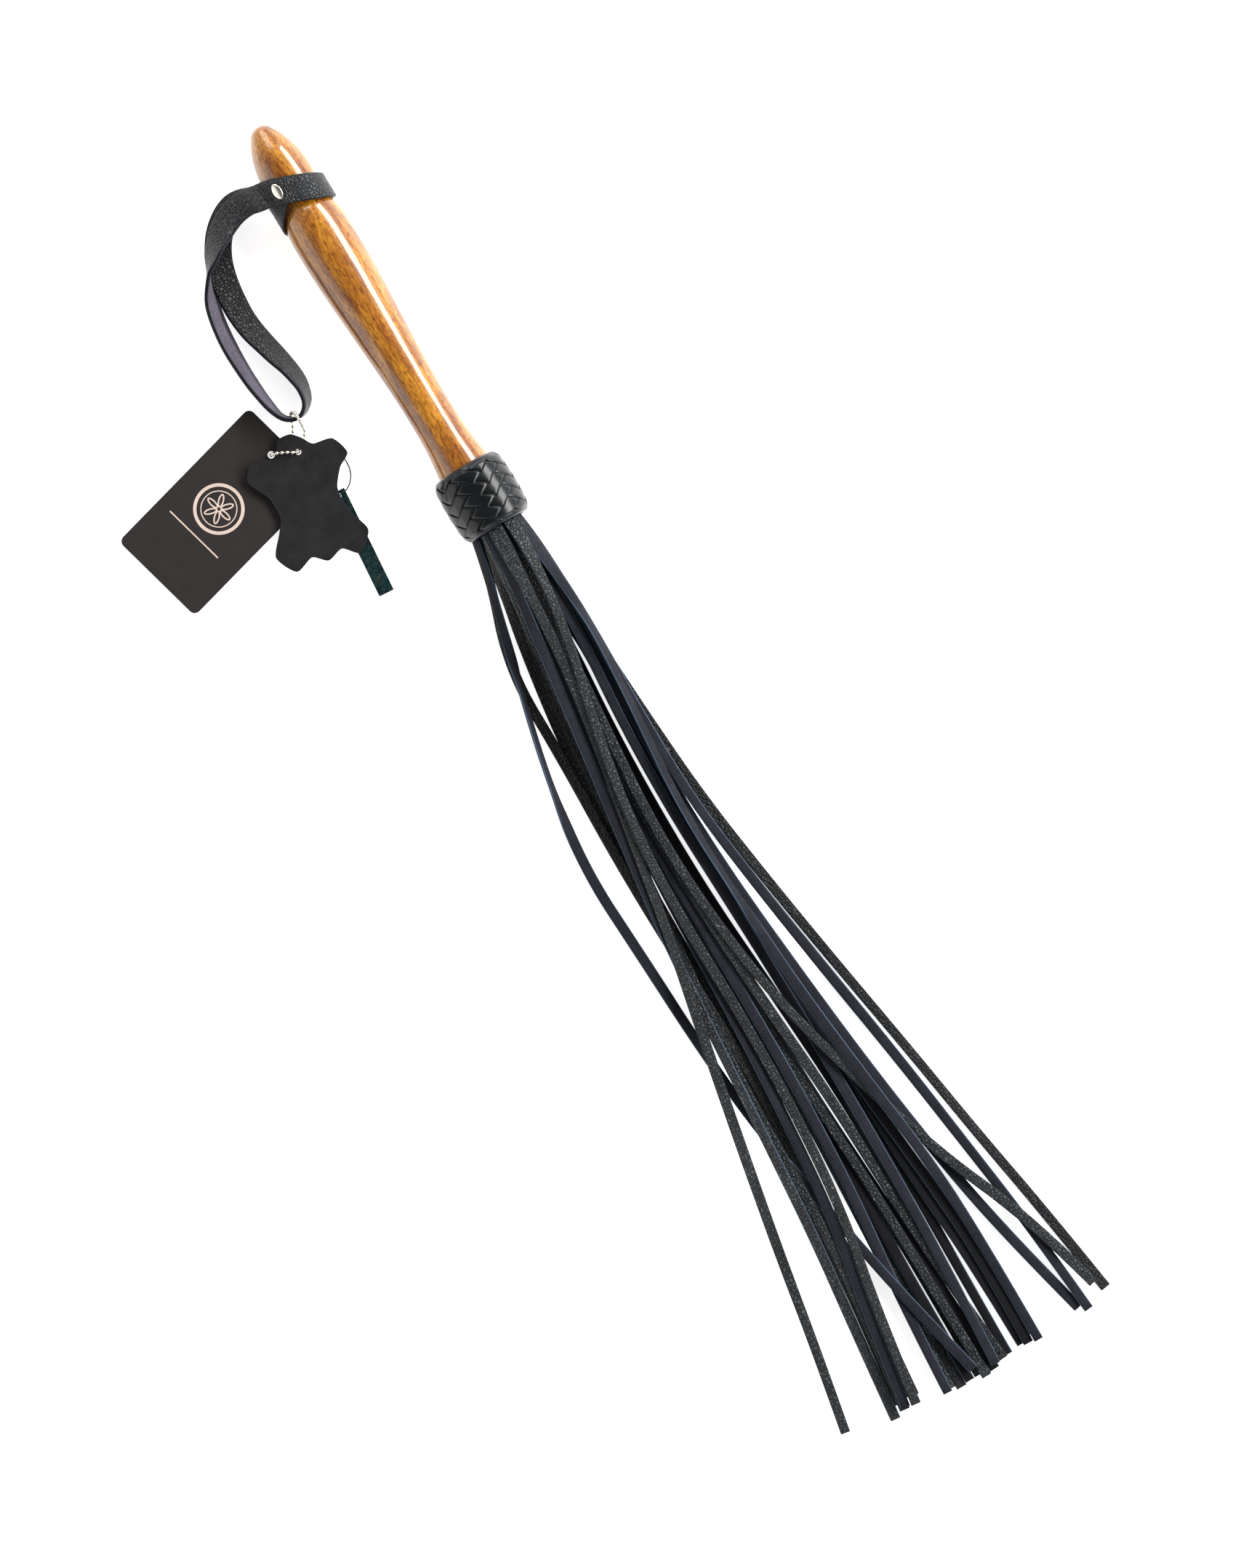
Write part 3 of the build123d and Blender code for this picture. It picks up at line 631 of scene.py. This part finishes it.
# ---- wrist strap: one strip round the neck and through its loop ----------------------------------
strap_width, strap_thick = 13.0, 2.0
band_slant = math.radians(21.8)
band_s, neck_r = -187.0, 13.3
loop_sections = [
    (-192.5, -17.8, 23.2, (1.0, -0.25, 0.10)), (-194.3, -22.5, 15.6, (1.0, -0.12, 0.10)),
    (-193.6, -31.0, 12.4, (1.0, 0.25, 0.20)), (-189.6, -39.5, 11.4, (0.9, 0.45, 0.45)),
    (-183.2, -48.6, 10.6, (0.6, 0.35, 0.85)), (-174.0, -57.2, 8.3, (0.15, -0.12, 1.0)),
    (-160.0, -63.0, 7.2, (-0.05, -0.54, 0.95)), (-142.0, -65.8, 6.9, (-0.02, -0.56, 0.97)),
    (-122.0, -65.8, 6.9, (0.02, -0.44, 1.0)), (-107.5, -64.3, 7.6, (0.05, -0.30, 1.0)),
    (-98.2, -62.2, 8.8, (0.10, -0.10, 1.0)), (-93.6, -56.6, 9.6, (0.05, 0.0, 1.0)),
    (-95.4, -50.0, 9.2, (0.0, -0.15, 1.0)), (-102.2, -45.8, 8.0, (-0.02, -0.35, 1.0)),
    (-113.0, -45.6, 6.9, (0.02, -0.60, 0.9)), (-128.0, -49.4, 5.6, (0.10, -0.85, 0.75)),
    (-145.0, -53.4, 4.6, (0.02, -0.95, 0.55)), (-162.0, -52.8, 3.4, (0.05, -1.0, 0.32)),
    (-177.0, -49.6, 2.2, (-0.2, -1.0, 0.12)), (-188.5, -42.8, 2.0, (-0.6, -0.8, 0.05)),
    (-195.6, -33.5, 2.6, (-0.95, -0.4, 0.05)), (-196.8, -25.5, 6.2, (-1.0, -0.05, 0.05)),
    (-193.4, -19.4, 13.4, (-1.0, 0.1, 0.05)),
]
strap_points, strap_ways = [], []
for step in range(22):
    angle = -262 + step * 15
    r = neck_r + 0.35 + strap_thick / 2
    sideways = -r * math.sin(math.radians(angle))
    s = band_s + math.tan(band_slant) * sideways
    strap_points.append(polar(s, r, angle))
    strap_ways.append(Vector((1, 0, 0)))
for x, y, z, way in loop_sections:
    strap_points.append(at(x, y, z))
    strap_ways.append(Vector(way))
strap_line = line_through(strap_points, 10)


def ways_along(line, points, ways):
    """The width's direction at each place of the line, between those of the control points."""
    out, low = [], 0
    for p in line:
        k = min(range(max(0, low - 1), min(len(points), low + 4)), key=lambda m: (points[m] - p).length)
        low = max(low, k)
        near = [m for m in (k - 1, k, k + 1) if 0 <= m < len(points)]
        weight = {m: 1 / ((points[m] - p).length + 0.002) ** 2 for m in near}
        out.append(sum((ways[m].normalized() * weight[m] for m in near), Vector()).normalized())
    for _ in range(3):
        out = [sum((out[max(0, min(len(out) - 1, i + d))] for d in (-2, -1, 0, 1, 2)), Vector()).normalized()
               for i in range(len(out))]
    return out


strap_across = ways_along(strap_line, strap_points, strap_ways)
strap_normals = []
for i, p in enumerate(strap_line):
    t = (strap_line[min(i + 1, len(strap_line) - 1)] - strap_line[max(i - 1, 0)]).normalized()
    strap_normals.append(t.cross(strap_across[i]).normalized())
strap = ribbon("wrist_strap", strap_line, strap_normals, [strap_width * MM] * len(strap_line),
               strap_thick * MM, ["strap_grain", "strap_suede", "strap_edge"], bevel=0.22)
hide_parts("strap_neck_band", "wrist_loop")
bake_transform(strap)

# the strap's lower end comes up beside the neck and goes under the band to the rivet
lower_end = line_through([polar(-176, 15.0, 125), polar(-177.5, 15.0, 105), polar(-179, 15.0, 85),
                          polar(-184, 14.6, 58), polar(-189, 14.3, 36)], 8)
lower_out = []
for p in lower_end:
    from_axis = p - mouth
    lower_out.append((from_axis - along * from_axis.dot(along)).normalized())
end_piece = ribbon("strap_lower_end", lower_end, lower_out, [strap_width * MM] * len(lower_end), 1.2 * MM,
                   ["strap_grain", "strap_suede", "strap_edge"], bevel=0.22)
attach(end_piece, "strap_band")

# ---- rivet ---------------------------------------------------------------------------------------
rivet_low, rivet_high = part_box("rivet_cap")
rivet_centre = (rivet_low + rivet_high) / 2
rivet_lean = math.radians(29)
rivet_out = (up_of_axis * math.cos(rivet_lean) + side_of_axis * math.sin(rivet_lean)).normalized()
rivet_across = rivet_out.cross(along).normalized()
verts = []
dome = [(4.1, -0.62), (4.1, -0.25), (3.9, 0.12), (3.3, 0.36), (2.2, 0.54), (1.1, 0.60), (0.02, 0.62)]
rivet_turns = 48
oval_long, oval_across = 0.98, 0.62
for r, h in dome:
    for k in range(rivet_turns):
        a = 2 * math.pi * k / rivet_turns
        offset = along * math.cos(a) * r * oval_long + rivet_across * math.sin(a) * r * oval_across
        verts.append(rivet_centre + (offset + rivet_out * h) * MM)
faces = ring_faces(len(dome), rivet_turns)
faces.append(tuple(reversed(range(rivet_turns))))
faces.append(tuple(range(len(verts) - rivet_turns, len(verts))))
rivet = make("rivet_cap_dome", verts, faces, ["nickel"])
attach(rivet, "strap_band")
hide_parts("rivet_cap")

# ---- ball chain ----------------------------------------------------------------------------------
chain_route = [
    (-83.9, -58.3, 1.0), (-87.6, -55.7, 1.2), (-90.3, -55.4, 5.5), (-90.8, -55.2, 15.0),
    (-93.4, -55.1, 18.5), (-96.8, -55.4, 14.8), (-98.1, -56.4, 5.0), (-97.6, -57.8, 1.2),
    (-92.6, -59.4, 1.0), (-88.9, -61.3, 1.0), (-87.2, -66.2, 1.0), (-86.2, -73.4, 1.0),
    (-86.0, -75.6, 2.4), (-85.9, -75.2, 5.9), (-85.0, -72.3, 7.1), (-83.0, -68.2, 7.0),
    (-80.9, -64.9, 7.0), (-80.5, -63.8, 5.8), (-80.5, -63.3, 3.4), (-81.0, -62.8, 1.2),
]
bead_r, bead_pitch, link_r = 0.95, 2.5, 0.3


def places_along(line, pitch):
    """Evenly spaced places along a line."""
    total = sum((b - a).length for a, b in zip(line, line[1:]))
    count = int(total / pitch)
    out, walked, want = [line[0]], 0.0, 1
    for a, b in zip(line, line[1:]):
        piece_length = (b - a).length
        while want <= count and walked + piece_length >= want * total / count - 1e-9:
            out.append(a.lerp(b, (want * total / count - walked) / piece_length))
            want += 1
        walked += piece_length
    return out


chain_points = [at(*p) for p in chain_route]
beads = places_along(chain_points, bead_pitch * MM)
verts, faces = [], []
for p in beads:
    first = len(verts)
    for i in range(9):
        lat = math.pi * i / 8
        for k in range(14):
            lon = 2 * math.pi * k / 14
            out = Vector((math.sin(lat) * math.cos(lon), math.sin(lat) * math.sin(lon), math.cos(lat)))
            verts.append(p + out * bead_r * MM)
    for i in range(8):
        for k in range(14):
            n = (k + 1) % 14
            here, there = first + i * 14, first + (i + 1) * 14
            faces.append((here + k, there + k, there + n, here + n))
for a, b in zip(beads, beads[1:]):
    t = (b - a).normalized()
    u = t.cross(Vector((0.3, 0.5, 0.8))).normalized()
    w = t.cross(u)
    first = len(verts)
    for p in (a + t * 0.8 * bead_r * MM, b - t * 0.8 * bead_r * MM):
        verts += [p + (u * math.cos(k * math.pi / 3) + w * math.sin(k * math.pi / 3)) * link_r * MM
                  for k in range(6)]
    faces += [(first + k, first + (k + 1) % 6, first + 6 + (k + 1) % 6, first + 6 + k) for k in range(6)]
chain = make("ball_chain_beads", verts, faces, ["nickel"])
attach(chain, "chain")
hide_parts("ball_chain")

# ---- tags ----------------------------------------------------------------------------------------
card_hole = at(-86.0, -75.3, 2.05)
card_short = Vector((0.970, 0.248, 0)).normalized()
card_lift = math.asin(2.05 / 80.6)
card_long = Vector((-card_short.y * math.cos(card_lift), card_short.x * math.cos(card_lift),
                    math.sin(card_lift)))
card_up = card_short.cross(card_long)


def on_card(a, b, h):
    """A point on the card: a along its short edge, b along its long edge, h over its face, in mm."""
    return card_hole + (card_short * (a + 2.2) + card_long * (b - 35.9) + card_up * (0.6 + h)) * MM


def printed(name, outline, closed=True, width=0.8):
    """A thin foil line on the card."""
    verts, faces = [], []
    count = len(outline)
    for i, (a, b) in enumerate(outline):
        before = outline[(i - 1) % count] if closed or i else outline[i]
        after = outline[(i + 1) % count] if closed or i < count - 1 else outline[i]
        t = Vector((after[0] - before[0], after[1] - before[1])).normalized()
        for side in (-1, 1):
            verts.append(on_card(a - t.y * side * width / 2, b + t.x * side * width / 2, 0.05))
    for i in range(count if closed else count - 1):
        n = (i + 1) % count
        faces.append((2 * i, 2 * i + 1, 2 * n + 1, 2 * n))
    piece = make(name, verts, faces, ["foil_print"], flat=True)
    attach(piece, "card")
    return piece


def circle(a, b, r, count=64):
    return [(a + r * math.cos(2 * math.pi * k / count), b + r * math.sin(2 * math.pi * k / count))
            for k in range(count)]


motif_a, motif_b = -2.0, 0.0
printed("card_ring_outer", circle(motif_a, motif_b, 11.5), width=1.6)
printed("card_ring_inner", circle(motif_a, motif_b, 8.6), width=0.5)
for k in range(6):
    turn = math.radians(60 * k)
    centre = (motif_a + 4.1 * math.cos(turn), motif_b + 4.1 * math.sin(turn))
    leaf = [(centre[0] + 3.0 * math.cos(q) * math.cos(turn) - 1.1 * math.sin(q) * math.sin(turn),
             centre[1] + 3.0 * math.cos(q) * math.sin(turn) + 1.1 * math.sin(q) * math.cos(turn))
            for q in [2 * math.pi * m / 24 for m in range(24)]]
    printed(f"card_leaf_{k + 1}", leaf, width=0.7)
printed("card_rule", [(motif_a - 16 + m * 4, -17.0) for m in range(9)], closed=False, width=0.7)

hide_outline = [
    (-89.4, -62.6), (-85.0, -58.8), (-80.0, -55.6), (-77.5, -46.5), (-68.3, -43.8), (-64.3, -50.2),
    (-57.0, -56.3), (-51.0, -57.6), (-42.0, -56.9), (-31.6, -54.4), (-24.2, -63.0), (-30.6, -69.6),
    (-28.9, -77.9), (-34.4, -84.0), (-32.1, -93.6), (-42.7, -98.6), (-51.5, -91.5), (-57.5, -87.2),
    (-68.4, -86.7), (-80.2, -91.6), (-86.8, -85.7), (-83.8, -74.6), (-90.0, -69.0),
]


def soft_outline(outline, steps=6, pull=0.36):
    """A closed line through the outline's points, rounded between them."""
    out = []
    count = len(outline)
    for i in range(count):
        before, here, there, after = (Vector(outline[(i + k) % count]) for k in (-1, 0, 1, 2))
        leave, arrive = (there - before) * pull, (after - here) * pull
        for j in range(steps):
            t = j / steps
            q = (here * (2 * t ** 3 - 3 * t * t + 1) + leave * (t ** 3 - 2 * t * t + t)
                 + there * (3 * t * t - 2 * t ** 3) + arrive * (t ** 3 - t * t))
            out.append((q.x, q.y))
    return out


def flat_shape(name, outline, hole, hole_r, thick, to_world, material, round_edge):
    """A cut sheet with one hole, from a closed outline, by a filled curve."""
    data = bpy.data.curves.new(name, "CURVE")
    data.dimensions = "2D"
    data.fill_mode = "BOTH"
    data.extrude = thick / 2 - round_edge
    data.bevel_depth = round_edge
    data.bevel_resolution = 2
    for points in (outline, circle(hole[0], hole[1], hole_r, 20)):
        spline = data.splines.new("POLY")
        spline.points.add(len(points) - 1)
        for p, (x, y) in zip(spline.points, points):
            p.co = (x * MM, y * MM, 0, 1)
        spline.use_cyclic_u = True
    obj = bpy.data.objects.new(name, data)
    bpy.context.scene.collection.objects.link(obj)
    mesh = bpy.data.meshes.new_from_object(obj.evaluated_get(bpy.context.evaluated_depsgraph_get()))
    bpy.data.objects.remove(obj)
    for v in mesh.vertices:
        v.co = to_world(v.co)
    mesh.materials.clear()
    mesh.materials.append(looks[material])
    out = bpy.data.objects.new(name, mesh)
    bpy.context.scene.collection.objects.link(out)
    return out


hide_hole = (-80.4, -63.5)
hide_slope = math.radians(2.1)
hide_low, hide_thick = 3.75, 1.6


def on_hide(co):
    """The hide's own flat shape to its place: it slopes down towards +X and its edges curl a little."""
    x, y = co.x / MM - hide_hole[0], co.y / MM - hide_hole[1]
    curl = 0.25 * noise.noise(Vector((x * 0.05, y * 0.05, 3.0)))
    h = hide_low + hide_thick / 2 + co.z / MM + curl
    return at(hide_hole[0] + x * math.cos(hide_slope), hide_hole[1] + y, h - x * math.sin(hide_slope))


hide = flat_shape("hide_tag_leather", soft_outline(hide_outline), hide_hole, 1.7, hide_thick * MM,
                  on_hide, "hide", 0.00025)
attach(hide, "hide")
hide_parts("hide_tag")

wire_route = [
    (-78.5, -57.2, 1.6), (-74.5, -50.2, 1.2), (-67.0, -45.9, 0.6), (-58.5, -47.0, 0.5), (-53.4, -52.0, 1.4),
    (-52.6, -56.4, 1.9), (-52.7, -58.2, 0.47), (-57.5, -60.2, 0.45), (-68.0, -60.0, 1.2), (-78.0, -59.0, 1.6),
]
wire_turns, wire_r = 8, 0.33
wire_line = line_through([at(*p) for p in wire_route], 12)
verts = []
for i, p in enumerate(wire_line):
    t = (wire_line[min(i + 1, len(wire_line) - 1)] - wire_line[max(i - 1, 0)]).normalized()
    u = t.cross(Vector((0, 0, 1))).normalized()
    w = t.cross(u)
    for k in range(wire_turns):
        a = 2 * math.pi * k / wire_turns
        verts.append(p + (u * math.cos(a) + w * math.sin(a)) * wire_r * MM)
faces = ring_faces(len(wire_line), wire_turns)
wire = make("strip_wire", verts, faces, ["wire"])
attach(wire, "strip")
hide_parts("strip_loop")

# ---- CAD nodes that stay visible -----------------------------------------------------------------
# the headers inside the collar take the darker copy of the grain leather: painted shade
kept = {"header_inner": "grain_shaded", "header_outer": "grain_shaded", "header_tacks": "steel",
        "binding_thread": "thread", "collar_padding": "padding", "rivet_post": "nickel",
        "chain_connector": "nickel", "swing_card": "card", "foil_strip": "foil"}
for node, look in kept.items():
    obj = frame["nodes"][node]
    obj.data.materials.clear()
    obj.data.materials.append(looks[look])

low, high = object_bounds()
